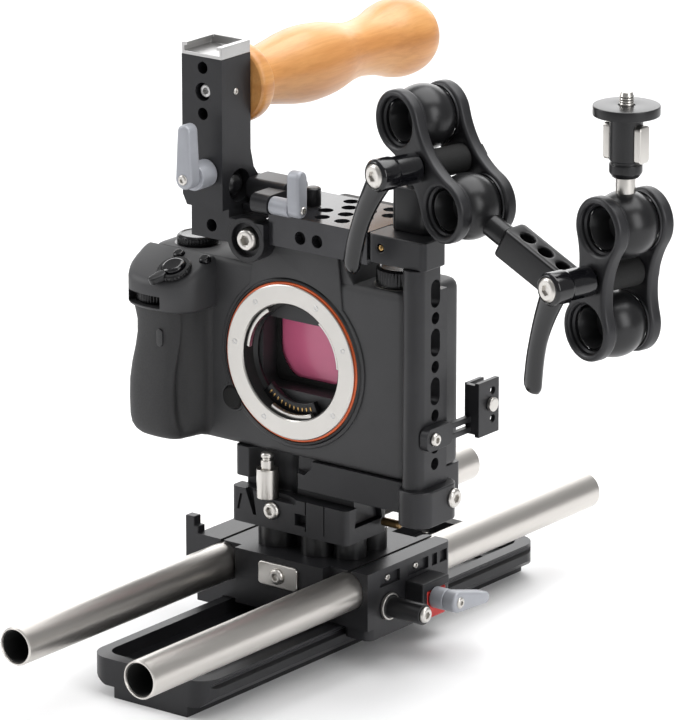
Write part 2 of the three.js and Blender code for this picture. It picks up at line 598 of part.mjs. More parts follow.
function arm() {
  armPost();
  const half = CLAMP.span / 2;
  const lean1 = radians(47.5);
  const middle1 = armPoint(ARM_FOOT, half * Math.cos(lean1), -half * Math.sin(lean1));
  const near = armPoint(ARM_FOOT, 2 * half * Math.cos(lean1), -2 * half * Math.sin(lean1));
  // Lever tips are given in the clamp's own plane, so the arm's lean is taken off.
  const tip = (along, up, lean) => [
    along * Math.cos(lean) - up * Math.sin(lean),
    along * Math.sin(lean) + up * Math.cos(lean),
  ];
  armClamp("lower_clamp", clampGroup(middle1, lean1), tip(-17.5, -38.5, lean1));

  const length = BAR.length();
  const bar = join(
    ball(),
    ball().translate([length, 0, 0]),
    rod("x", 4.5, [0, 0], [8, length - 8], 20),
    prism("y", roundRect([21, length - 21], [-5.8, 5.8], 2), [-6.3, 6.3], 3),
  );
  const holes = [28, length / 2, length - 28].map((x) => rod("z", 3, [x, 0], [-9, 9], 14));
  const link = piece("arm_bar", cut(bar, ...holes), "anodised");
  link.position.copy(near);
  link.rotation.y = Math.atan2(-BAR.z, BAR.x);

  const far = near.clone().add(BAR);
  const lean2 = -radians(81.3);
  const middle2 = armPoint(far, half * Math.cos(lean2), -half * Math.sin(lean2));
  const head = armPoint(far, 2 * half * Math.cos(lean2), -2 * half * Math.sin(lean2));
  armClamp("upper_clamp", clampGroup(middle2, lean2), tip(-11.5, -39.5, lean2));

  const stem = turned([
    [0, 8], [4, 8], [4, 17.7], [6.2, 18.2], [6.2, 41.3], [12.45, 41.3], [12.45, 45], [3, 45],
    [3, 49.6], [2.6, 50], [0, 50],
  ], 16);
  const fins = [-1, 1].map((side) =>
    box([side * 7.1 - 1.5, side * 7.1 + 1.5], [-1.1, 1.1], [21, 40]),
  );
  const mount = piece("monitor_mount", join(ball(), stem, ...fins), "anodised");
  mount.position.copy(head);
}

dovetailPlate();
bridgeBlock();
bridgeTrim();
lockLever();
rods();
riserSpacer();
receiver();
cageBase();
cageSide();
topPlate();
handleBracket();
handleRiser();
handleGrip();
cableClamp();
cameraBody();
gripShell();
controls();
lensMount();
arm();

export default rig;
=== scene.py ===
"""Camera rig for Blender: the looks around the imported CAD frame. Sizes in millimetres, +Z up."""

import math

import bmesh
import bpy
from mathutils import Matrix, Vector


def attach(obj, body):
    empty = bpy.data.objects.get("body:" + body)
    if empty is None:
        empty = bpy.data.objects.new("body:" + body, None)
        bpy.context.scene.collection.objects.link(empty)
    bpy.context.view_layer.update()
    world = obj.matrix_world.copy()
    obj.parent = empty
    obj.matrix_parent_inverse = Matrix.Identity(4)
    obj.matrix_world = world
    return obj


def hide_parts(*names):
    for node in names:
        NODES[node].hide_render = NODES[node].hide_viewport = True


MM = 0.001
MERGE = 1e-6
SHARP = 32
LENS_Z = 115.5
LENS = (0, 0, LENS_Z)
ROD = {"x": 30, "z": 30, "rear": 156, "length": 285}
ROD_KNOB = (40.3, 10, 22.7)
HANDLE = {"x": -34, "z": 219, "start": 8.4, "tilt": -1}
GRIP_TOP = {"at": (-48.5, -9.5, 145.7), "slope": 24}
BUTTONS = ((-5.2, 9.8), (7.6, 9.8))
BODY = {"left": -70, "right": 54.7, "front": 2.3, "rear": 37, "top": 151}
BALL = 12.7
CLAMP = {"span": 39.5, "end": 12.3, "waist": 7.7, "inner": 8.2, "outer": 13.8, "eye": 9.4}
ARM_TURN = math.radians(-13.9)
ARM_FOOT = Vector((52.2, 15, 218))
BAR = Vector((66.1, 0, -33.6))
LEAN_LOWER = math.radians(47.5)
LEAN_UPPER = math.radians(-81.3)
POST = {"half": 9, "bottom": 174.6, "top": 192}
CAMERA = {"turn": 37.45, "rise": 16.8, "away": 2.2, "lens": 288.9, "target": (0.0248, 0, 0.1212)}

# Local X, Y, Z turned so that local Z runs along the named axis; y runs towards -Y.
AXES = {
    "x": Matrix(((0, 0, 1), (1, 0, 0), (0, 1, 0))).to_4x4(),
    "y": Matrix(((1, 0, 0), (0, 0, -1), (0, 1, 0))).to_4x4(),
    "z": Matrix.Identity(4),
}

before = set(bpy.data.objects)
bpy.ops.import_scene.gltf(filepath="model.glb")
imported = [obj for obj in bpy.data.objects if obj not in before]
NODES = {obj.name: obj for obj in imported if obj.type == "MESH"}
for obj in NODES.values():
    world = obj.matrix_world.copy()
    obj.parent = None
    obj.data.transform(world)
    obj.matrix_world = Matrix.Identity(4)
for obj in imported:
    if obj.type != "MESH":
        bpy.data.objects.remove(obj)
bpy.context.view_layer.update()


# ---- shapes: each is a list of points and a list of faces ----
def circle(centre, radius, count=48):
    u, v = centre
    turns = [math.tau * i / count for i in range(count)]
    return [(u + radius * math.cos(t), v + radius * math.sin(t)) for t in turns]


def arc(centre, radius, start, end, count=12):
    u, v = centre
    turns = [start + (end - start) * i / (count - 1) for i in range(count)]
    return [(u + radius * math.cos(t), v + radius * math.sin(t)) for t in turns]


def round_rect(us, vs, radius, count=8):
    (u0, u1), (v0, v1) = us, vs
    quarter = math.pi / 2
    corners = ((u1, v0, 3), (u1, v1, 0), (u0, v1, 1), (u0, v0, 2))
    points = []
    for u, v, turn in corners:
        centre = (u - math.copysign(radius, u - u0 - 1e-6), v - math.copysign(radius, v - v0 - 1e-6))
        points += arc(centre, radius, turn * quarter, (turn + 1) * quarter, count)
    return points


def capsule(first, last, radius, last_radius=None, count=14):
    last_radius = radius if last_radius is None else last_radius
    turn = math.atan2(last[1] - first[1], last[0] - first[0])
    quarter = math.pi / 2
    return arc(last, last_radius, turn - quarter, turn + quarter, count) + arc(
        first, radius, turn + quarter, turn + 3 * quarter, count
    )


def rounded(points, radius, steps=4):
    """A polyline with each inner corner turned into a small arc."""
    result = [points[0]]
    for before, corner, after in zip(points, points[1:], points[2:]):
        here = Vector(corner)
        back = Vector(before) - here
        ahead = Vector(after) - here
        reach = min(radius, back.length * 0.45, ahead.length * 0.45)
        start = here + back.normalized() * reach
        end = here + ahead.normalized() * reach
        for i in range(steps + 1):
            t = i / steps
            point = start * (1 - t) ** 2 + here * 2 * t * (1 - t) + end * t * t
            result.append(tuple(point))
    result.append(points[-1])
    return result


def smooth_line(points, count):
    """Points spread along a Catmull-Rom curve through the given points."""
    ends = [points[0]] + list(points) + [points[-1]]
    spans = len(points) - 1
    result = []
    for i in range(count):
        place = spans * i / (count - 1)
        k = min(int(place), spans - 1)
        t = place - k
        a, b, c, d = (Vector(p) for p in ends[k : k + 4])
        point = b * 2 + (c - a) * t + (a * 2 - b * 5 + c * 4 - d) * t * t
        point += (b * 3 - a - c * 3 + d) * t**3
        result.append(tuple(point / 2))
    return result


def revolve(rows, sides=72, change=None):
    """A turned solid about local Z. change(radius, turn, height) may alter a radius."""
    points, rings = [], []
    for radius, height in rows:
        if radius < 1e-6:
            rings.append([len(points)])
            points.append((0, 0, height))
            continue
        rings.append(list(range(len(points), len(points) + sides)))
        for i in range(sides):
            turn = math.tau * i / sides
            r = change(radius, turn, height) if change else radius
            points.append((r * math.cos(turn), r * math.sin(turn), height))
    closed = rows[0] == rows[-1]
    if closed:
        points = points[: -len(rings[-1])]
        rings[-1] = rings[0]
    faces = []
    for low, high in zip(rings, rings[1:]):
        for i in range(sides):
            j = (i + 1) % sides
            quad = [low[i % len(low)], low[j % len(low)], high[j % len(high)], high[i % len(high)]]
            faces.append(list(dict.fromkeys(quad)))
    return points, faces


def loft(loops):
    """A closed skin through loops of equal length, capped at both ends."""
    count = len(loops[0])
    points = [point for loop in loops for point in loop]
    faces = []
    for k in range(len(loops) - 1):
        for i in range(count):
            j = (i + 1) % count
            low, high = k * count, (k + 1) * count
            faces.append([low + i, low + j, high + j, high + i])
    faces.append(list(range(count))[::-1])
    faces.append(list(range((len(loops) - 1) * count, len(loops) * count)))
    return points, faces


def plate(outlines, low, high, edge=0.4, steps=2):
    """A flat plate with holes whose every rim is rounded; the first outline is the outer one."""
    curve = bpy.data.curves.new("outline", "CURVE")
    curve.dimensions = "2D"
    curve.fill_mode = "BOTH"
    curve.extrude = (high - low) / 2 - edge
    curve.bevel_depth = edge
    curve.bevel_resolution = steps
    curve.offset = -edge
    for outline in outlines:
        spline = curve.splines.new("POLY")
        spline.points.add(len(outline) - 1)
        for point, (u, v) in zip(spline.points, outline):
            point.co = (u, v, 0, 1)
        spline.use_cyclic_u = True
    holder = bpy.data.objects.new("outline", curve)
    mesh = bpy.data.meshes.new_from_object(holder)
    middle = (low + high) / 2
    points = [(v.co.x, v.co.y, v.co.z + middle) for v in mesh.vertices]
    faces = [list(p.vertices) for p in mesh.polygons]
    bpy.data.objects.remove(holder)
    bpy.data.curves.remove(curve)
    bpy.data.meshes.remove(mesh)
    return points, faces


def block(xs, ys, zs, edge=0.6, corner=None):
    corner = edge * 1.5 if corner is None else corner
    return plate([round_rect(xs, ys, corner)], zs[0], zs[1], edge)


def moved(shape, offset):
    points, faces = shape
    return [tuple(Vector(p) + Vector(offset)) for p in points], faces


def turned(shape, axis, at=(0, 0, 0)):
    """The shape with its local Z along an axis and its origin at a point."""
    points, faces = shape
    matrix = Matrix.Translation(at) @ AXES[axis]
    return [tuple(matrix @ Vector(p)) for p in points], faces


def together(*shapes):
    points, faces = [], []
    for more, sides in shapes:
        start = len(points)
        points += more
        faces += [[start + i for i in face] for face in sides]
    return points, faces


# ---- pieces ----
def closed_mesh(name, points, faces):
    """A mesh in metres with doubled points joined and every face turned outwards."""
    mesh = bpy.data.meshes.new(name)
    mesh.from_pydata([point * MM for point in points], [], faces)
    work = bmesh.new()
    work.from_mesh(mesh)
    bmesh.ops.remove_doubles(work, verts=work.verts, dist=MERGE)
    bmesh.ops.recalc_face_normals(work, faces=work.faces)
    work.to_mesh(mesh)
    work.free()
    return mesh


def piece(name, shape, finish, body, stands_for=(), place=None, sharp=SHARP):
    """A visible piece that rides on a body and may stand for CAD nodes."""
    points, faces = shape
    place = place or Matrix.Identity(4)
    mesh = closed_mesh(name, [place @ Vector(p) for p in points], faces)
    mesh.shade_smooth()
    mesh.set_sharp_from_angle(angle=math.radians(sharp))
    obj = bpy.data.objects.new(name, mesh)
    bpy.context.scene.collection.objects.link(obj)
    mesh.materials.append(finish)
    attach(obj, body)
    if stands_for:
        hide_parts(*stands_for)
    return obj


def carve(obj, shapes, sharp=SHARP):
    """Cuts closed shapes out of a piece."""
    for number, (points, faces) in enumerate(shapes):
        mesh = closed_mesh("cutter", [Vector(p) for p in points], faces)
        tool = bpy.data.objects.new("cutter", mesh)
        bpy.context.scene.collection.objects.link(tool)
        cut = obj.modifiers.new(f"cut{number}", "BOOLEAN")
        cut.operation = "DIFFERENCE"
        cut.object = tool
        bpy.context.view_layer.update()
        graph = bpy.context.evaluated_depsgraph_get()
        made = bpy.data.meshes.new_from_object(obj.evaluated_get(graph), depsgraph=graph)
        obj.modifiers.clear()
        obj.data = made
        bpy.data.objects.remove(tool)
    obj.data.shade_smooth()
    obj.data.set_sharp_from_angle(angle=math.radians(sharp))


def dressed(node, finish, width=0.35, body="bridge", cuts=()):
    """The CAD solid's own shape with its flat faces joined up and every edge rounded."""
    source = NODES[node]
    mesh = source.data.copy()
    mesh.transform(source.matrix_world)
    mesh.materials.clear()
    mesh.materials.append(finish)
    obj = bpy.data.objects.new(f"{node}_dressed", mesh)
    bpy.context.scene.collection.objects.link(obj)
    carve(obj, cuts)
    work = bmesh.new()
    work.from_mesh(obj.data)
    bmesh.ops.remove_doubles(work, verts=work.verts, dist=MERGE)
    flat = math.radians(0.5)
    bmesh.ops.dissolve_limit(work, angle_limit=flat, verts=work.verts, edges=work.edges)
    work.to_mesh(obj.data)
    work.free()
    obj.data.shade_smooth()
    obj.data.set_sharp_from_angle(angle=math.radians(SHARP))
    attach(obj, body)
    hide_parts(node)
    bevel = obj.modifiers.new("Bevel", "BEVEL")
    bevel.width = width * MM
    bevel.segments = 3
    bevel.limit_method = "ANGLE"
    bevel.angle_limit = math.radians(SHARP)
    level = obj.modifiers.new("Normals", "WEIGHTED_NORMAL")
    level.keep_sharp = True
    return obj


# ---- materials ----
def coordinates(nodes, links, scale):
    source = nodes.new("ShaderNodeTexCoord")
    mapping = nodes.new("ShaderNodeMapping")
    mapping.inputs["Scale"].default_value = scale
    links.new(source.outputs["Object"], mapping.inputs["Vector"])
    return mapping.outputs["Vector"]


def noise(nodes, links, scale, detail=4.0, roughness=0.6):
    texture = nodes.new("ShaderNodeTexNoise")
    texture.inputs["Scale"].default_value = 1.0
    texture.inputs["Detail"].default_value = detail
    texture.inputs["Roughness"].default_value = roughness
    links.new(coordinates(nodes, links, scale), texture.inputs["Vector"])
    return texture.outputs["Fac"]


def spread(nodes, links, value, low, high):
    node = nodes.new("ShaderNodeMapRange")
    node.inputs["From Min"].default_value = 0.3
    node.inputs["From Max"].default_value = 0.7
    node.inputs["To Min"].default_value = low
    node.inputs["To Max"].default_value = high
    links.new(value, node.inputs["Value"])
    return node.outputs["Result"]


def ramp(nodes, links, value, stops):
    node = nodes.new("ShaderNodeValToRGB")
    node.color_ramp.elements[0].position = stops[0][0]
    node.color_ramp.elements[1].position = stops[-1][0]
    for position, _ in stops[1:-1]:
        node.color_ramp.elements.new(position)
    for element, (_, color) in zip(node.color_ramp.elements, stops):
        element.color = (*color, 1)
    links.new(value, node.inputs["Fac"])
    return node.outputs["Color"]


def surface(name, color, rough, metal=0.0, grain=1800.0, cloud=60.0, vary=0.18, bump=0.06,
            depth=0.05, stretch=(1, 1, 1), coat=0.0, cells=False):
    """A material with cloudy colour and roughness and a fine grain in its relief."""
    made = bpy.data.materials.new(name)
    made.use_nodes = True
    nodes, links = made.node_tree.nodes, made.node_tree.links
    shader = nodes["Principled BSDF"]
    shader.inputs["Metallic"].default_value = metal
    shader.inputs["Coat Weight"].default_value = coat
    shader.inputs["Coat Roughness"].default_value = 0.08
    clouds = noise(nodes, links, [cloud * s for s in stretch])
    dark = [c * (1 - vary) for c in color]
    light = [min(c * (1 + vary), 1) for c in color]
    tint = ramp(nodes, links, clouds, ((0.3, dark), (0.7, light)))
    links.new(tint, shader.inputs["Base Color"])
    fine = noise(nodes, links, [grain * s for s in stretch], detail=2.0)
    low, high = rough * 0.92, min(rough * 1.08, 1)
    links.new(spread(nodes, links, fine, low, high), shader.inputs["Roughness"])
    relief = fine
    if cells:
        texture = nodes.new("ShaderNodeTexVoronoi")
        texture.inputs["Scale"].default_value = 1.0
        links.new(coordinates(nodes, links, [grain] * 3), texture.inputs["Vector"])
        relief = texture.outputs["Distance"]
    node = nodes.new("ShaderNodeBump")
    node.inputs["Strength"].default_value = bump
    node.inputs["Distance"].default_value = depth * MM
    links.new(relief, node.inputs["Height"])
    links.new(node.outputs["Normal"], shader.inputs["Normal"])
    return made


def maple(name):
    """Oiled wood with its grain along local Y."""
    made = surface(name, (0.7, 0.42, 0.17), 0.38, grain=900, stretch=(1, 0.06, 1), bump=0.25, coat=0.12)
    nodes, links = made.node_tree.nodes, made.node_tree.links
    shader = nodes["Principled BSDF"]
    figure = noise(nodes, links, (55, 7, 95), detail=6.0, roughness=0.55)
    color = ramp(nodes, links, figure, (
        (0.28, (0.39, 0.155, 0.038)), (0.44, (0.54, 0.235, 0.068)), (0.56, (0.62, 0.295, 0.093)),
        (0.75, (0.70, 0.375, 0.145)),
    ))
    fibres = noise(nodes, links, (900, 45, 900), detail=3.0)
    mix = nodes.new("ShaderNodeMix")
    mix.data_type = "RGBA"
    mix.blend_type = "MULTIPLY"
    mix.inputs[0].default_value = 0.35
    links.new(color, mix.inputs[6])
    links.new(ramp(nodes, links, fibres, ((0.3, (0.7, 0.62, 0.5)), (0.6, (1, 1, 1)))), mix.inputs[7])
    links.new(mix.outputs[2], shader.inputs["Base Color"])
    return made


BLACK = surface("black anodised", (0.016, 0.016, 0.018), 0.4, metal=0.3, grain=4200, bump=0.1)
# A copy of the black anodising with its base colour raised: painted light for the brightly lit top faces
# of the top plate.
BLACK_PAINTED_LIT = surface("black anodised painted lit", (0.03, 0.03, 0.033), 0.2, metal=0.35, grain=4200, bump=0.04)
BLACK_SATIN = surface("black satin", (0.011, 0.011, 0.012), 0.3, metal=0.3, grain=6000, bump=0.02)
BLACK_GLOSS = surface("gloss black", (0.004, 0.004, 0.005), 0.16, grain=900, bump=0.01, coat=0.05)
BLACK_MATT = surface("matt black", (0.005, 0.005, 0.005), 0.85, grain=3000, bump=0.05)
STEEL = surface("stainless steel", (0.58, 0.56, 0.53), 0.3, metal=1.0, grain=7000, vary=0.04,
                bump=0.01)
TUBE = surface("ground steel tube", (0.6, 0.575, 0.545), 0.36, metal=1.0, grain=5000, cloud=30, vary=0.05,
               bump=0.02, stretch=(1, 0.03, 1))
SHOE = surface("bare aluminium", (0.52, 0.515, 0.51), 0.34, metal=1.0, grain=6000, vary=0.04, bump=0.02)
GREY = surface("grey lever", (0.33, 0.34, 0.37), 0.42, metal=0.25, grain=5000, vary=0.06, bump=0.06)
RED = surface("red anodised", (0.5, 0.03, 0.025), 0.35, metal=0.5, grain=4000, bump=0.03)
SHELL = surface("camera shell", (0.032, 0.032, 0.034), 0.52, grain=4500, vary=0.08, bump=0.3,
                depth=0.03)
RUBBER = surface("grip rubber", (0.022, 0.022, 0.023), 0.66, grain=1400, vary=0.08, bump=0.4,
                 depth=0.06, cells=True)
DIAL = surface("black dial", (0.012, 0.012, 0.013), 0.25, metal=0.5, grain=5000, bump=0.02)
ORANGE = surface("orange ring", (0.62, 0.1, 0.02), 0.3, metal=0.4, grain=3000, bump=0.02, coat=0.3)
BAYONET = surface("bayonet steel", (0.54, 0.525, 0.5), 0.3, metal=1.0, grain=5000, vary=0.03,
                  bump=0.01)
SENSOR = surface("sensor glass", (0.88, 0.18, 0.35), 0.3, grain=60, cloud=18, vary=0.1, bump=0.0,
                 coat=0.3)
GOLD = surface("gold contact", (0.5, 0.32, 0.13), 0.32, metal=1.0, grain=4000, vary=0.06, bump=0.01)
BRASS = surface("dull brass", (0.2, 0.13, 0.06), 0.4, metal=0.9, grain=4000, vary=0.1, bump=0.03)
GLASS = surface("screen glass", (0.008, 0.008, 0.01), 0.06, grain=200, bump=0.0, coat=1.0)
MAPLE = maple("oiled maple")


# ---- parts that repeat ----
def socket_screw(name, radius, height, axis, at, body, stands_for=(), finish=None, place=None):
    """A button-head screw with a hexagon socket, its head on the face it clamps."""
    hexagon = radius * 0.46
    apothem = hexagon * math.cos(math.pi / 6)
    floor = height * 0.3
    rim = height * 0.94

    def change(r, turn, height):
        if r > hexagon * 1.05 or height > rim:
            return r
        return r / hexagon * apothem / math.cos(turn % (math.pi / 3) - math.pi / 6)

    flank = rounded([(0, 0), (radius, 0), (radius, height * 0.45), (radius * 0.8, height),
                     (hexagon * 1.16, height)], height * 0.3)
    inner = [(hexagon * 1.12, height), (hexagon, rim), (hexagon, floor),
             (hexagon * 0.3, floor * 0.8), (0, floor * 0.8)]
    shape = turned(revolve(flank + inner, 72, change), axis, at)
    return piece(name, shape, finish or STEEL, body, stands_for, place)


def knurled(rows, teeth, depth=0.05, zone=None):
    """A turned knob whose rim, between two heights, is cut in teeth."""
    widest = max(row[0] for row in rows)
    low, high = zone or (-1e9, 1e9)

    def change(radius, turn, height):
        if radius < widest * 0.97 or not low <= height <= high:
            return radius
        return radius * (1 - depth * (0.5 - 0.5 * math.cos(teeth * turn)) ** 2)

    return revolve(rows, teeth * 6, change)


def cam_lever(name, node, body, axis, at, hub, length, tip, arm, thickness, taper, finish):
    """A clamping lever: a turned hub on its base with a flat rounded arm across its far end."""
    shoulder = length - thickness + 0.5
    rim = rounded([(0, 0), (hub, 0), (hub, shoulder), (0, shoulder)], 0.4)
    outline = capsule((0, 0), tip, arm, arm * taper, 18)
    bar = plate([outline], length - thickness, length, 1.3, 4)
    shape = turned(together(revolve(rim, 56), bar), axis, at)
    piece(name, shape, finish, body, (node,))
    top = AXES[axis] @ Vector((0, 0, length - 0.1)) + Vector(at)
    socket_screw(f"{name}_screw", arm * 0.52, 0.8, axis, top, body)


# ---- dovetail plate, bridge and rods ----
def base_parts():
    dressed("dovetail_plate", BLACK, 0.5, "base")
    for number, (x, y) in enumerate(((-24.5, -78), (-24.5, 121), (22.5, -78), (22.5, 121))):
        rows = rounded([(0, 0), (1.5, 0), (1.5, 0.5), (0, 0.5)], 0.25)
        piece(f"plate_plug_{number}", turned(revolve(rows, 32), "z", (x, y, 9.7)), STEEL, "base")
    pin = rounded([(0, 0), (1.6, 0), (1.6, 2.6), (0, 2.6)], 0.5)
    spot = Matrix.Translation((-33.2, -74, 11.4)) @ AXES["x"]
    piece("plate_stop_pin", revolve(pin, 32), BLACK_SATIN, "base", place=spot)

    dressed("bridge_block", BLACK, 0.5)
    dressed("front_plate", STEEL, 0.4)
    dressed("lock_housing", BLACK, 0.5)
    dressed("side_tab", BLACK, 0.4)
    dressed("lock_tab", RED, 0.6, "lock_button")
    socket_screw("nose_screw", 3.2, 1.6, "y", (0.2, -8.5, 31.3), "bridge", ("front_plate_screw",))
    knob = rounded([(0, 0), (4.8, 0), (4.8, 1.5), (4.1, 1.5), (4.1, 17.2), (3.4, 17.2), (0, 17.2)], 0.3)
    shape = turned(knurled(knob, 24, 0.07, zone=(2.2, 16.4)), "x", ROD_KNOB)
    piece("rod_clamp_grip", shape, BLACK_SATIN, "clamp_knob", ("rod_clamp_knob",))
    washer = rounded([(0, 0), (5.4, 0), (5.4, 1.4), (0, 1.4)], 0.3)
    piece("rod_clamp_washer", turned(revolve(washer, 56), "x", ROD_KNOB), STEEL, "clamp_knob")
    socket_screw("rod_clamp_cap", 3.2, 1.6, "x", (57.5, 10, 22.7), "clamp_knob")
    cam_lever("lock_arm_lever", "lock_lever", "lock_arm", "x", (48.6, 29, 22.9), 4.25, 12,
              (17.5, -2.8), 4.25, 6.5, 0.55, GREY)
    for number, y in enumerate((11.2, 29.2)):
        socket_screw(f"pocket_screw_{number}", 1.4, 0.6, "x", (38.6, y, 33.6), "bridge")

    length = ROD["length"]
    rows = [(6.35, 0.8), (6.75, 0), (7.1, 0), (7.5, 0.5), (7.5, length - 0.5), (7.1, length),
            (6.75, length), (6.35, length - 0.8), (6.35, 0.8)]
    # A matt black sheet along the inside of each tube: painted shade in the hollow bore.
    painted_shade_lining = [(6.1, 0.8), (6.32, 0.8), (6.32, length - 0.8), (6.1, length - 0.8), (6.1, 0.8)]
    for name, side, body in (("rod_left", -1, "left_rod"), ("rod_right", 1, "right_rod")):
        end = (side * ROD["x"], ROD["rear"], ROD["z"])
        shape = turned(revolve(rows, 112), "y", end)
        piece(f"{name}_tube", shape, TUBE, body, (name,))
        shape = turned(revolve(painted_shade_lining, 64), "y", end)
        piece(f"{name}_lining", shape, BLACK_MATT, body)


# ---- riser, receiver and quick release ----
def receiver_parts():
    dressed("riser_spacer", BLACK_SATIN, 0.5)
    dressed("receiver", BLACK, 0.45)
    socket_screw("receiver_bolt", 3.6, 1.8, "y", (-8, -1, 54.5), "bridge", ("receiver_screw",))
    at = (-11.5, 0.5, 58.9)
    sleeve = rounded([(2.8, 1.7), (2.8, 11.9), (4.25, 11.9), (4.25, 0), (0, 0)], 0.4)
    shape = turned(revolve([(0, 1.7)] + sleeve, 64), "z", at)
    piece("release_sleeve", shape, STEEL, "bridge", ("pin_sleeve",))
    pin = rounded([
        (0, 5.2), (2.5, 5.2), (2.5, 15.2), (1.9, 15.5), (1.9, 16.2), (2.5, 16.5), (2.5, 17.7),
        (2, 18.3), (0, 18.3),
    ], 0.25)
    piece("release_pin", turned(revolve(pin, 56), "z", at), STEEL, "plunger", ("release_plunger",))
    peg = rounded([(0, 0), (1.7, 0), (1.7, 7.4), (1.2, 8.4), (0, 8.4)], 0.3)
    pin = turned(revolve(peg, 40), "x", (29.4, 20.8, 52))
    piece("index_pin", pin, BRASS, "bridge")


# ---- cage ----
def cage_parts():
    for node in ("cage_base", "cage_foot", "corner_block", "handle_bracket"):
        dressed(node, BLACK, 0.5)
    dressed("cage_column", BLACK, 0.35)
    # The top plate takes the lighter copy of the anodising: painted light on its top faces.
    dressed("top_plate", BLACK_PAINTED_LIT, 0.4)
    holes = [revolve([(0, -2), (r, -2), (r, 7), (0, 7)], 40) for r in (2.4, 3.6, 2.4)]
    spots = [(-33.8, -4.5, z) for z in (228.8, 219.4, 210.8)]
    cuts = [turned(hole, "y", spot) for hole, spot in zip(holes, spots)]
    dressed("handle_riser", BLACK, 0.5, cuts=cuts)
    dressed("top_clamp", BLACK, 0.6)
    dressed("cold_shoe", SHOE, 0.25)
    dressed("cable_clamp_base", BLACK, 0.3)
    dressed("cable_clamp_jaw", BLACK, 0.3, "cable_jaw")
    socket_screw("foot_bolt", 3.8, 1.6, "x", (69, 12.7, 71.5), "bridge", ("foot_screw",))
    socket_screw("bracket_bolt", 4.7, 3.4, "y", (-16.6, -3.2, 162.8), "bridge", ("bracket_screw",))
    cup = [(6.8, 0), (6.8, 2.9), (7.2, 3.3), (8.6, 3.3), (8.85, 3.0), (8.85, 0), (6.8, 0)]
    piece("bracket_cup", turned(revolve(cup, 80), "y", (-16.6, -2.8, 162.8)), BLACK_SATIN, "bridge")
    stop = rounded([(0, 0), (3.2, 0), (3.2, 6.8), (2.4, 7.4), (0, 7.4)], 0.35)
    shape = turned(knurled(stop, 18, 0.07, zone=(0.8, 6.4)), "z", (0, 14.7, 174.9))
    piece("stop_screw", shape, BLACK_SATIN, "stop", ("stop_knob",))

    cam_lever("riser_arm_lever", "riser_lever", "riser_arm", "y", (-32, -10.3, 188), 5.4, 14.4,
              (0, 18.5), 4.0, 6.2, 0.74, GREY)
    cam_lever("top_arm_lever", "top_clamp_lever", "top_arm", "x", (-4.2, -4.5, 178.5), 3.5, 14.4,
              (0, 12.2), 3.1, 6, 1, GREY)
    socket_screw("handle_bolt", 3.1, 2.2, "y", (-33.8, -6.2, 219.4), "bridge", finish=SHOE)
    socket_screw("riser_pin", 1.3, 0.5, "x", (-24.6, -1.5, 219.3), "bridge")
    dome = rounded([(0, 0), (4.6, 0), (4.3, 1.6), (2.4, 2.9), (0, 3.2)], 0.6)
    piece("riser_plug", turned(revolve(dome, 56), "x", (-28.3, 0.5, 182)), BLACK_SATIN, "bridge")
    lamp = rounded([(0, 0), (1.3, 0), (1.1, 0.8), (0, 1.1)], 0.2)
    piece("corner_rivet", turned(revolve(lamp, 32), "y", (45.5, -1.6, 169.5)), GOLD, "bridge")

    bolt = rounded([
        (0, 0), (1.5, 0), (1.5, 10.7), (2.8, 10.7), (2.8, 12.2), (2.2, 12.4), (0, 12.4),
    ], 0.25)
    shape = turned(revolve(bolt, 48), "x", (62, 31.5, 105))
    piece("cable_bolt", shape, STEEL, "cable_screw", ("cable_clamp_screw",))
    socket_screw("cable_base_bolt", 2.6, 1.6, "x", (68.4, 1.2, 97.5), "bridge")


def handle_part():
    bead = [(14.2, 0), (15.1, 0.7), (15.6, 2.4), (15.5, 5.2), (14.8, 7.2), (12.4, 8.7), (11, 10.4)]
    swell = [(10.8, 12.6), (11.5, 18), (13.2, 28), (14.5, 36), (15.1, 45), (14.2, 57), (11.9, 68),
             (11.2, 77), (12.5, 88), (15.1, 98), (15.8, 105), (14.8, 112), (11.8, 117.3), (7, 119.8),
             (0, 120.6)]
    rows = [(0, 0)] + smooth_line(bead + swell, 150)
    rows[-1] = (0, rows[-1][1])
    tilt = Matrix.Rotation(-math.pi / 2 + math.radians(HANDLE["tilt"]), 4, "X")
    place = Matrix.Translation((HANDLE["x"], HANDLE["start"], HANDLE["z"])) @ tilt
    piece("maple_handle", revolve(rows, 96), MAPLE, "bridge", ("handle_grip",), place)


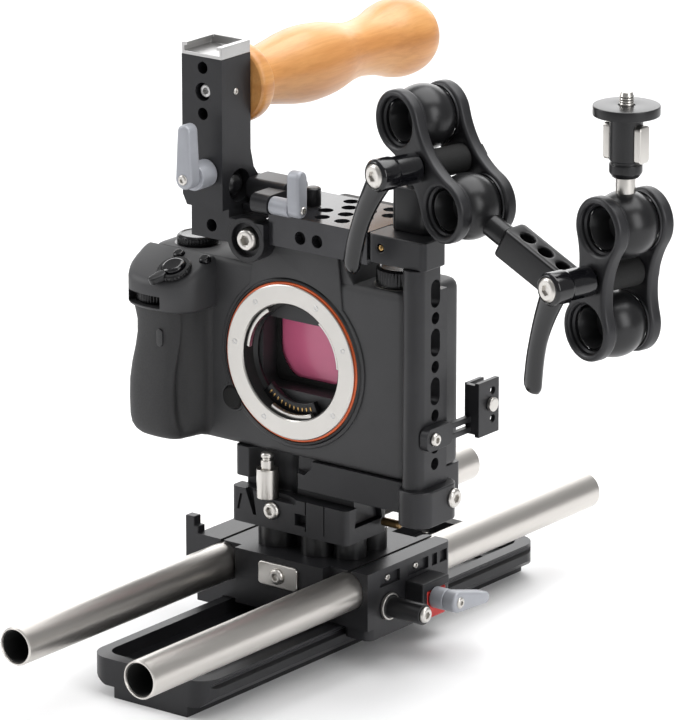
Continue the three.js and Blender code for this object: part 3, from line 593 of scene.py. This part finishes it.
# ---- camera ----
def camera_shell():
    left, right, front, rear = BODY["left"], BODY["right"], BODY["front"], BODY["rear"]
    levels = ((77.5, 1.6), (77.9, 0.7), (78.9, 0.1), (80, 0), (147.6, 0), (149.2, 0.35),
              (150.4, 1.1), (151, 2.2))
    loops = []
    for z, inset in levels:
        xs = (left + inset, right - inset)
        ys = (front + inset * 0.6, rear - inset)
        outline = round_rect(xs, ys, 5 - inset * 0.6, 10)
        loops.append([(x, y, z) for x, y in outline])
    shell = piece("camera_shell", loft(loops), SHELL, "bridge", ("camera_body",), sharp=40)
    hump = []
    for y, inset in ((3.1, 2.4), (3.4, 1.2), (4.4, 0.3), (6, 0), (37, 0), (39, 0.7), (40, 2)):
        lean = max(0, 12 - y) * 0.08
        ridge = 171.3 - inset - lean
        outline = [(-25, 148), (30, 148), (22.5 - inset, 163), (17.6 - inset, ridge),
                   (-12.6 + inset, ridge), (-17.5 + inset, 163)]
        closed = outline + [outline[0]]
        soft = rounded(closed, 2.2, 5)[:-1]
        hump.append([(x, y, z) for x, z in soft])
    piece("finder_hump", loft(hump[::-1]), SHELL, "bridge", sharp=40)

    def along_y(outline, low, high):
        points, faces = loft([[(u, v, low) for u, v in outline], [(u, v, high) for u, v in outline]])
        return [(x, z, y) for x, y, z in points], faces

    across, tall = 18.1, 12.2
    cuts = [
        along_y(circle((0, LENS_Z), 24.6, 80), 0, 8.5),
        along_y(round_rect((-19.5, 19.5), (LENS_Z - 14, LENS_Z + 14), 3), 5, 17),
        along_y(round_rect((-across, across), (LENS_Z - tall, LENS_Z + tall), 0.5), 5, 20.1),
        along_y(round_rect((-30.5, 48.5), (82.5, 134.5), 2), 35.4, 45),
    ]
    carve(shell, cuts, 40)

    boss = rounded([(31.9, 0), (31.9, 1.3), (32.8, 1.2), (33.6, 0), (31.9, 0)], 0.2)
    boss[-1] = boss[0]
    piece("mount_boss", turned(revolve(boss, 120), "y", (0, 2.2, LENS_Z)), BLACK_SATIN, "bridge")
    face = arc((0, 0), 34.6, math.radians(127.5), math.radians(406), 70)
    face += [(21.8, 47.5), (17, 55), (-12, 55), (-16.8, 47.5)]
    outlines = [face, circle((0, 0), 31.8, 90)[::-1]]
    panel = turned(plate(outlines, -0.6, 0.7, 0.5, 3), "y", (0, 2.3, LENS_Z))
    piece("front_panel", panel, SHELL, "bridge", sharp=40)
    button = rounded([(0, 0), (4.6, 0), (4.6, 1.6), (3.9, 2.3), (0, 2.3)], 0.4)
    piece("lens_release", turned(revolve(button, 56), "y", (-29, 2.4, 96)), BLACK_MATT, "bridge")
    well = [(4.8, -0.2), (5.9, -0.2), (5.7, 1), (5, 1), (4.8, -0.2)]
    piece("lens_release_rim", turned(revolve(well, 56), "y", (-29, 2.4, 96)), SHELL, "bridge")
    for number, (x, z) in enumerate(((-52, 137), (-40, 140), (-60, 124), (-40, 124), (-60, 84))):
        back = rounded([(0, 0), (3, 0), (3, 0.9), (0, 1.1)], 0.4)
        spot = Matrix.Translation((x, BODY["rear"] - 0.1, z)) @ Matrix.Rotation(-math.pi / 2, 4, "X")
        piece(f"rear_button_{number}", revolve(back, 40), BLACK_SATIN, "bridge", place=spot)
    cup = [round_rect((-14, 19), (151.8, 171), 5), round_rect((-8, 13), (155, 167), 3)]
    piece("eye_cup", turned(plate(cup, -49, -40, 1.6, 4), "y"), RUBBER, "bridge", ("eyecup",))
    window = turned(block((-8.5, 13.5), (154.5, 167.5), (-42, -40), 0.3), "y")
    piece("finder_glass", window, GLASS, "bridge")
    glass = turned(plate([round_rect((-30, 48), (83, 134), 2.5)], -41, -35.8, 0.6, 3), "y")
    piece("rear_screen", glass, GLASS, "screen", ("lcd_screen",))
    door = block((-65.5, -47.5), (-8.5, 1.5), (77.5, 79.2), 0.3, 2.5)
    piece("battery_hatch", door, SHELL, "door", ("battery_door",))


def grip_section(waist, crease, inset):
    """The grip's plan at one height: waist and inset pull it in, crease is the fingers' hollow."""
    reach = -16.6 + waist
    marks = (
        (-38.6, 2.7), (-40.8, 1.4), (-42, -1.8), (-43 - crease * 0.5, -5.6), (-44.6 - crease, -9.2),
        (-45.6 - crease * 0.4, reach + 3.4), (-49.6, reach + 0.8), (-57, reach),
        (-65.6 + waist * 0.5, reach + 1.6), (-71.4 + waist, reach + 6.6), (-73.6 + waist, -4),
        (-73.6 + waist, 2.7),
    )
    centre = Vector((-56, 2.7))
    plan = []
    for mark in smooth_line(marks, 72):
        away = Vector(mark) - centre
        plan.append(tuple(centre + away * (1 - inset / away.length)))
    return plan


def camera_grip():
    levels = (
        (77.5, 1.6, 0, 5.4), (77.8, 1.4, 0, 3.8), (78.6, 1, 0, 2.3), (80, 0.6, 0.1, 1.1),
        (82, 0.3, 0.6, 0.3),
        (85, 0.1, 2, 0), (92, 0, 3.2, 0), (99, 0.1, 3.5, 0), (106, 0.8, 3.1, 0), (112, 1.7, 2.1, 0),
        (118, 2.4, 1, 0), (124, 2.4, 0.3, 0), (128, 1.8, 0, 0), (131.6, 1.2, 0, 0),
    )
    loops = []
    for z, waist, crease, inset in levels:
        loops.append([(x, y, z) for x, y in grip_section(waist, crease, inset)])
    piece("rubber_grip", loft(loops), RUBBER, "bridge", ("grip_shell",), sharp=60)

    corner = (
        (-37.6, 2.7), (-37.8, -4), (-39.2, -10.4), (-43.6, -15), (-51.5, -17), (-60, -16.9),
        (-67.6, -14.4), (-72, -8), (-73.2, -1), (-73.2, 2.7),
    )
    outline = smooth_line(corner, 64)
    y0, z0 = GRIP_TOP["at"][1:]
    base = 130.4
    rise = math.tan(math.radians(GRIP_TOP["slope"]))
    centre = Vector((-54, -3))
    head = []
    for share, inset in ((0, 1.6), (0.03, 0.6), (0.09, 0), (0.8, 0), (0.9, 0.35), (0.96, 1.1), (1, 2.6)):
        loop = []
        for u, v in outline:
            inward = (centre - Vector((u, v))).normalized() * inset
            x, y = u + inward.x, min(v + inward.y, 2.7) if v < 2.6 else v
            top = min(z0 + (y - y0) * rise, BODY["top"])
            loop.append((x, y, base + (top - base) * share))
        head.append(loop)
    deck = piece("grip_head", loft(head), SHELL, "bridge", sharp=50)
    slot = block((-68.6, -50.4), (-24, -9), (131.8, 136.6), 0.3)
    well = [(0, 131.4), (8.5, 131.4), (8.5, 136.9), (0, 136.9)]
    seat = turned(revolve(well, 64), "z", (-59.5, -6.6, 0))
    lean = Matrix.Rotation(math.radians(GRIP_TOP["slope"]), 4, "X")
    slope = Matrix.Translation(GRIP_TOP["at"]) @ lean
    wells = []
    bores = [((0, 0), 3.4, 4.6)] + [(at, 2.4, 2.3) for at in BUTTONS]
    for centre, radius, depth in bores:
        hole = revolve([(0, -depth), (radius, -depth), (radius, 6), (0, 6)], 40)
        points, faces = moved(hole, (*centre, 0))
        wells.append(([tuple(slope @ Vector(p)) for p in points], faces))
    carve(deck, [slot, seat] + wells, 50)

    dial = rounded([(0, 0), (7.5, 0), (8, 0.6), (8, 3.9), (7.5, 4.5), (0, 4.5)], 0.2)
    shape = turned(knurled(dial, 40, 0.045), "z", (-59.5, -6.6, 131.9))
    piece("front_wheel_dial", shape, DIAL, "front_wheel", ("front_dial",))
    lamp = plate([capsule((0, -2.2), (0, 2.2), 1.5)], -0.6, 0.5, 0.3)
    piece("grip_window", turned(lamp, "y", (-52.7, -14, 119.4)), BLACK_GLOSS, "bridge")

    collar = [(4.9, 0.3), (6.6, 0.3), (7, 0.8), (7, 1.9), (6.4, 2.4), (5.2, 2.4), (4.9, 2.1),
              (4.9, 0.3)]
    finger = plate([capsule((-2, -6), (-3.5, -9), 2.3, 1.8)], 0.3, 3.2, 0.6, 3)
    shape = together(knurled(collar, 30, 0.05), finger)
    piece("power_switch", shape, BLACK_SATIN, "power", ("power_lever",), slope)
    cap = rounded([(0, -3.4), (3, -3.4), (3, 1.2), (4.5, 1.2), (4.5, 3.3), (3.4, 3.9), (0, 3.6)], 0.5)
    piece("shutter_cap", revolve(cap, 64), BLACK_GLOSS, "shutter", ("shutter_button",), slope)
    for number, (u, v) in enumerate(BUTTONS, 1):
        button = rounded([(0, -1.2), (2.1, -1.2), (2.1, 1), (1.7, 1.4), (0, 1.45)], 0.25)
        shape = moved(revolve(button, 40), (u, v, 0))
        node = f"custom_button_{number}"
        piece(f"{node}_cap", shape, BLACK_GLOSS, f"button_{number}", (node,), slope)


def camera_dials():
    plan = (
        ("mode", (-56, 14), 8.2, 3.5, 36), ("exposure", (-61, 29.6), 6.8, 4.6, 34),
        ("drive", (42, 15.5), 9.8, 7, 44),
    )
    for name, (x, y), radius, height, teeth in plan:
        rows = rounded([
            (0, 0), (radius, 0), (radius, height - 0.9), (radius - 0.9, height), (radius - 1.6, height),
            (radius - 1.9, height - 0.3), (0, height - 0.3),
        ], 0.2)
        shape = turned(knurled(rows, teeth, 0.04, zone=(0.3, height - 0.8)), "z", (x, y, 151.3))
        piece(f"{name}_dial_knob", shape, DIAL, f"{name}_wheel", (f"{name}_dial",))
        inner, outer = radius - 1, radius + 0.9
        foot = [(inner, 0.05), (outer, 0.05), (outer, 0.2), (inner, 0.2), (inner, 0.05)]
        # The drive dial's foot is bright steel: a painted highlight ring at the dial's base; the other
        # feet are black.
        finish = STEEL if name == "drive" else BLACK_SATIN
        piece(f"{name}_dial_foot", turned(revolve(foot, 72), "z", (x, y, 150.95)), finish, "bridge")
    rows = [(4, -3), (10.4, -3), (11, -2.4), (11, -0.6), (10.4, 0), (4.6, 0), (4, -0.6), (4, -3)]
    shape = turned(knurled(rows, 48, 0.03), "y", (-51, 37.3, 101))
    piece("rear_wheel_ring", shape, DIAL, "rear_wheel", ("control_wheel",))


def lens_mount_parts():
    collar = [(24.7, -2.3), (31.4, -2.3), (31.7, -2), (31.7, -1.2), (31.4, -0.9), (24.7, -0.9),
              (24.7, -2.3)]
    piece("orange_collar", turned(revolve(collar, 128), "y", LENS), ORANGE, "bridge", ("mount_ring",))
    face = [(23.05, -6), (24.3, -6), (24.3, -0.9), (30.6, -0.9), (30.75, -0.7), (30.75, -0.25),
            (30.4, 0), (23.5, 0), (23.05, -0.45), (23.05, -6)]
    lugs = []
    half = 26
    for middle in (28, 148, 268):
        start, end = math.radians(middle - half), math.radians(middle + half)
        outline = arc((0, 0), 23.3, start, end, 24) + arc((0, 0), 21.2, end, start, 24)
        lugs.append(plate([outline], -3.6, -1.6, 0.2))
    shape = turned(together(revolve(face, 144), *lugs), "y", LENS)
    piece("bayonet_ring", shape, BAYONET, "bridge", ("lens_mount",))
    ring = 27.1
    for number, turn in enumerate((62, 20, -40, -118, 172, 128)):
        angle = math.radians(turn)
        x, z = ring * math.cos(angle), LENS_Z + ring * math.sin(angle)
        socket_screw(f"bayonet_screw_{number}", 1.25, 0.28, "y", (x, 0.2, z), "bridge", finish=SHOE)
    liner = [(22.7, -8.4), (23.03, -8.4), (23.03, -0.8), (22.7, -0.8), (22.7, -8.4)]
    piece("throat_liner", turned(revolve(liner, 96), "y", LENS), BLACK_MATT, "bridge")
    trap = [(21.3, -8.3), (24.4, -8.3), (24.4, -6.1), (22.8, -6.1), (21.3, -7.2), (21.3, -8.3)]
    piece("light_trap", turned(revolve(trap, 96), "y", LENS), BLACK_SATIN, "bridge")
    start, end = math.radians(222), math.radians(296)
    outline = arc((0, 0), 22.9, start, end, 30) + arc((0, 0), 17.4, end, start, 30)
    piece("contact_block", turned(plate([outline], -7.6, -5, 0.4), "y", LENS), BLACK_SATIN, "bridge")
    axis = Matrix.Translation(LENS) @ AXES["y"]
    sink = Matrix.Translation((0, 0, -5.1))
    first, step = 229, 6
    for number in range(11):
        turn = math.radians(first + number * step)
        pin = plate([capsule((19.2, 0), (20.2, 0), 0.32)], 0, 0.4, 0.1)
        spot = axis @ Matrix.Rotation(turn, 4, "Z") @ sink
        piece(f"contact_{number}", pin, GOLD, "bridge", place=spot)

    wide, tall = 17.8, 11.9
    chip = plate([round_rect((-wide, wide), (-tall, tall), 0.6)], -19.7, -18.3, 0.2)
    piece("sensor_stack", turned(chip, "y", LENS), SENSOR, "bridge", ("image_sensor",))
    window = [(-17.2, 11.2), (-17.5, 3), (-16.6, -2.5), (-14, -7.5), (-10, -11.1), (10, -11.1),
              (14, -7.5), (16.6, -2.5), (17.5, 3), (17.2, 11.2)]
    rim = rounded(window + [window[0]], 2.4, 5)[:-1]
    mask = plate([round_rect((-19.2, 19.2), (-13.7, 13.7), 2.5), rim[::-1]], -16.9, -16.4, 0.1)
    piece("sensor_mask", turned(mask, "y", LENS), BLACK_MATT, "bridge")


# ---- jointed arm ----
def clamp_outline():
    """A clamp plate's outline: two round ends joined by hollowed sides."""
    reach, end, waist = CLAMP["span"] / 2, CLAMP["end"], CLAMP["waist"]
    scoop = (reach**2 + waist**2 - end**2) / (2 * (end - waist))
    centre = waist + scoop
    lean = math.atan2(centre, reach)
    return (
        arc((reach, 0), end, lean - math.pi, math.pi - lean, 40)
        + arc((0, centre), scoop, -lean, lean - math.pi, 18)[1:-1]
        + arc((-reach, 0), end, lean, math.tau - lean, 40)
        + arc((0, -centre), scoop, math.pi - lean, lean, 18)[1:-1]
    )


def lever_arm(tip, height):
    """The curved arm of a clamp lever, from its hub to its swollen round tip."""
    reach = Vector(tip)
    ahead = reach.normalized()
    side = Vector((-ahead.y, ahead.x))
    stations = 30
    loops = []
    for i in range(stations + 1):
        t = i / stations
        end = max(0.0, (t - 0.9) / 0.1)
        round_off = math.sqrt(max(0.0, 1 - end * end)) if end < 1 else 0.02
        width = (3.9 + 2.3 * max(0, 1 - t / 0.55) ** 1.6 + 0.8 * max(0, t - 0.6)) * round_off
        thick = (3.0 + 0.6 * max(0, 1 - t / 0.5)) * round_off
        middle = reach * t * (1 + 4.0 / reach.length) + side * (-2.2 * math.sin(math.pi * t))
        lift = height + 0.7 * math.sin(math.pi * t) - 0.2
        loop = []
        for k in range(28):
            turn = math.tau * k / 28
            across = math.cos(turn) * width
            up = math.sin(turn) * thick
            loop.append((middle.x + side.x * across, middle.y + side.y * across, lift + up))
        loops.append(loop)
    return loft(loops)


def clamp(prefix, bodies, centre, lean, tip):
    """Two plates over two balls, with the bolt, spacer and lever that draw them together."""
    plates_body, lever_body = bodies
    turn = Matrix.Rotation(ARM_TURN, 4, "Z")
    place = Matrix.Translation(centre) @ turn @ Matrix.Rotation(lean, 4, "Y")
    reach = CLAMP["span"] / 2
    holes = ((-reach, CLAMP["eye"]), (reach, CLAMP["eye"]), (0, 3.6))
    outlines = [clamp_outline()] + [circle((x, 0), r, 64)[::-1] for x, r in holes]
    inner, outer = CLAMP["inner"], CLAMP["outer"]
    for side, low, high in (("front", inner, outer), ("back", -outer, -inner)):
        shape = turned(plate(outlines, low, high, 1.5, 5), "y")
        node = f"{prefix}_{side}_plate"
        piece(f"{prefix}_{side}", shape, BLACK, plates_body, (node,), place, sharp=45)
    seat = [(10.4, 7.5), (11.2, 7.5), (11.4, 10.8), (9.5, 11.6), (8.7, 10.8), (8.8, 9.4),
            (9.7, 8.4), (10.4, 7.5)]
    mirrored = [(radius, -height) for radius, height in seat]
    for number, x in enumerate((-reach, reach)):
        shape = turned(together(revolve(seat, 64), revolve(mirrored, 64)), "y", (x, 0, 0))
        piece(f"{prefix}_seat_{number}", shape, BLACK, plates_body, place=place)
    hub = rounded([
        (0, -26.5), (3.2, -26.5), (3.2, 1), (5.8, 1.6), (5.8, 12.4), (6.3, 13.4), (6.3, 20.2),
        (5.4, 21.2), (4.9, 21.2), (4.9, 20.6), (0, 20.6),
    ], 0.5)
    shape = together(revolve(hub, 72), lever_arm(tip, 17.1))
    level = (0, -outer + 0.3, 0)
    handle = turned(shape, "y", level)
    piece(f"{prefix}_handle", handle, BLACK_GLOSS, lever_body, (f"{prefix}_lever",), place, sharp=45)
    socket_screw(f"{prefix}_bolt", 4.7, 1.4, "y", (0, -outer + 0.3 - 20.6, 0), lever_body, place=place)
    spacer = [(3.4, -7.9), (5.6, -7.9), (5.6, 7.9), (3.4, 7.9), (3.4, -7.9)]
    piece(f"{prefix}_spacer", turned(revolve(spacer, 48), "y"), BLACK_MATT, plates_body, place=place)
    cap = rounded([(0, 26.6), (4.6, 26.6), (4.6, 29.0), (3.9, 29.6), (0, 29.6)], 0.4)
    nut = revolve([(r, -h - 1.2) for r, h in cap], 6)
    piece(f"{prefix}_nut", turned(nut, "y", level), BLACK_SATIN, plates_body, place=place, sharp=20)


def arm_ball(name, body, centre):
    """A ball cut flat and hollowed where the clamp's eyes show it."""
    cap = 10.2
    start = math.asin(cap / BALL)
    skin = [(BALL * math.cos(t), BALL * math.sin(t)) for t in (start * (i / 14 - 1) for i in range(29))]
    rows = [(0, -3.5), (4.8, -3.5), (7.2, -9.8)] + skin + [(7.2, 9.8), (4.8, 3.5), (0, 3.5)]
    place = Matrix.Translation(centre) @ Matrix.Rotation(ARM_TURN, 4, "Z")
    piece(name, turned(revolve(rows, 96), "y"), BLACK_SATIN, body, place=place)


def arm_point(start, along, up):
    """A point in the arm's upright plane, along it and up from a start."""
    return start + Vector((along * math.cos(ARM_TURN), along * math.sin(ARM_TURN), up))


def local_tip(along, up, lean):
    """A lever's tip, given in the arm's plane, in its leaning clamp's own axes."""
    return (
        along * math.cos(lean) - up * math.sin(lean),
        along * math.sin(lean) + up * math.cos(lean),
    )


def arm_parts():
    x, y = ARM_FOOT.x, ARM_FOOT.y
    half = POST["half"]
    square = round_rect((x - half, x + half), (y - half, y + half), 3.5, 8)
    foot = plate([square], POST["bottom"], POST["top"], 0.8, 3)
    stem = rounded([(6.5, 190), (6.5, 195), (4.5, 195.6), (4.5, 208), (0, 208)], 0.4)
    stem = [(0, 190)] + stem
    shape = together(foot, turned(revolve(stem, 56), "z", (x, y, 0)))
    piece("arm_foot", shape, BLACK_SATIN, "bridge", ("arm_post",))
    arm_ball("foot_ball", "bridge", ARM_FOOT)

    span = CLAMP["span"]
    drop = (math.cos(LEAN_LOWER), -math.sin(LEAN_LOWER))
    middle = arm_point(ARM_FOOT, span / 2 * drop[0], span / 2 * drop[1])
    near = arm_point(ARM_FOOT, span * drop[0], span * drop[1])
    tip = local_tip(-17.5, -38.5, LEAN_LOWER)
    clamp("lower_clamp", ("lower_clamp", "lower_lever"), middle, LEAN_LOWER, tip)

    length = BAR.length
    slope = math.atan2(-BAR.z, BAR.x)
    place = Matrix.Translation(near) @ Matrix.Rotation(slope, 4, "Y")
    holes = [circle((u, 0), 3, 32)[::-1] for u in (28, length / 2, length - 28)]
    bar = plate([round_rect((20.4, length - 20.4), (-6.3, 6.3), 2.2)] + holes, -5.8, 5.8, 0.9, 3)
    neck = rounded([(0, 8), (4.5, 8), (4.5, 21), (0, 21)], 0.4)
    far_neck = rounded([(0, length - 21), (4.5, length - 21), (4.5, length - 8), (0, length - 8)], 0.4)
    parts = [bar, turned(revolve(neck, 56), "x"), turned(revolve(far_neck, 56), "x")]
    piece("arm_link", together(*parts), BLACK_SATIN, "link", ("arm_bar",), place)
    far = near + BAR
    arm_ball("near_ball", "link", near)
    arm_ball("far_ball", "link", far)
    climb = (math.cos(LEAN_UPPER), -math.sin(LEAN_UPPER))
    middle = arm_point(far, span / 2 * climb[0], span / 2 * climb[1])
    head = arm_point(far, span * climb[0], span * climb[1])
    tip = local_tip(-11.5, -39.5, LEAN_UPPER)
    clamp("upper_clamp", ("upper_clamp", "upper_lever"), middle, LEAN_UPPER, tip)

    place = Matrix.Translation(head)
    neck = rounded([(0, 8), (3.7, 8), (3.7, 18.4), (0, 18.4)], 0.3)
    piece("monitor_neck", revolve(neck, 56), STEEL, "monitor_head", place=place)
    stem = rounded([
        (0, 18), (4.9, 18), (6.2, 20), (6.2, 23), (5.7, 23.3), (5.7, 24.2), (6.2, 24.5),
        (6.2, 41.3), (12.45, 41.3), (12.45, 45), (3.2, 45), (3.2, 44.6), (0, 44.6),
    ], 0.4)
    piece("monitor_stand", revolve(stem, 80), BLACK_SATIN, "monitor_head", ("monitor_mount",), place)
    arm_ball("head_ball", "monitor_head", head)
    stud = rounded([(0, 44), (2.7, 44), (2.7, 45.6), (2.4, 45.9), (2.7, 46.3), (2.4, 46.8), (2.7, 47.3),
                    (2.4, 47.8), (2.7, 48.3), (2.4, 48.8), (2.1, 49.9), (0, 50)], 0.2)
    piece("monitor_stud", revolve(stud, 48), STEEL, "monitor_head", place=place)
    upright = Matrix(((0, 0, 1), (0, 1, 0), (1, 0, 0))).to_4x4()
    for number, turn in enumerate((0, math.pi)):
        clip = plate([round_rect((24, 38), (-3.2, 3.2), 1.6)], 5.3, 8.3, 0.6, 3)
        spot = place @ Matrix.Rotation(turn, 4, "Z") @ upright
        piece(f"monitor_clip_{number}", clip, STEEL, "monitor_head", place=spot)


# ---- floor, light and camera ----
def area_light(name, at, towards, size, power):
    light = bpy.data.lights.new(name, "AREA")
    light.shape = "RECTANGLE"
    light.size, light.size_y = size
    light.energy = power
    obj = bpy.data.objects.new(name, light)
    obj.location = at
    obj.rotation_euler = (Vector(towards) - Vector(at)).to_track_quat("-Z", "Y").to_euler()
    bpy.context.scene.collection.objects.link(obj)


def stage():
    mesh = bpy.data.meshes.new("floor")
    mesh.from_pydata([(-6, -4, 0), (6, -4, 0), (6, 12, 0), (-6, 12, 0)], [], [(0, 1, 2, 3)])
    floor = bpy.data.objects.new("floor", mesh)
    bpy.context.scene.collection.objects.link(floor)
    paper = surface("paper", (0.86, 0.86, 0.865), 0.85, grain=300, cloud=2, vary=0.01, bump=0.02)
    mesh.materials.append(paper)

    world = bpy.data.worlds.new("studio")
    world.use_nodes = True
    background = world.node_tree.nodes["Background"]
    background.inputs["Color"].default_value = (1, 1, 1, 1)
    background.inputs["Strength"].default_value = 0.36
    bpy.context.scene.world = world
    area_light("overhead", (0.1, 0.35, 1.5), (0, 0.05, 0.1), (1.7, 1.3), 28)
    area_light("left", (-1.3, -0.7, 0.9), (0, 0, 0.12), (0.4, 1.2), 12)
    area_light("right", (1.4, -0.2, 0.7), (0, 0, 0.12), (0.6, 1.1), 9)
    area_light("behind", (-1.52, 1.98, 1.05), (0, 0, 0.15), (3.2, 1.5), 36)

    turn, rise = math.radians(CAMERA["turn"]), math.radians(CAMERA["rise"])
    back = Vector((math.sin(turn) * math.cos(rise), -math.cos(turn) * math.cos(rise), math.sin(rise)))
    across = Vector((math.cos(turn), math.sin(turn), 0))
    up = back.cross(across)
    lens = bpy.data.cameras.new("camera")
    lens.lens = CAMERA["lens"]
    lens.clip_end = 30
    camera = bpy.data.objects.new("camera", lens)
    place = Matrix((across, up, back)).transposed().to_4x4()
    place.translation = Vector(CAMERA["target"]) + back * CAMERA["away"]
    camera.matrix_world = place
    bpy.context.scene.collection.objects.link(camera)
    bpy.context.scene.camera = camera
    bpy.context.scene.view_settings.view_transform = "Standard"


base_parts()
receiver_parts()
cage_parts()
handle_part()
camera_shell()
camera_grip()
camera_dials()
lens_mount_parts()
arm_parts()
stage()
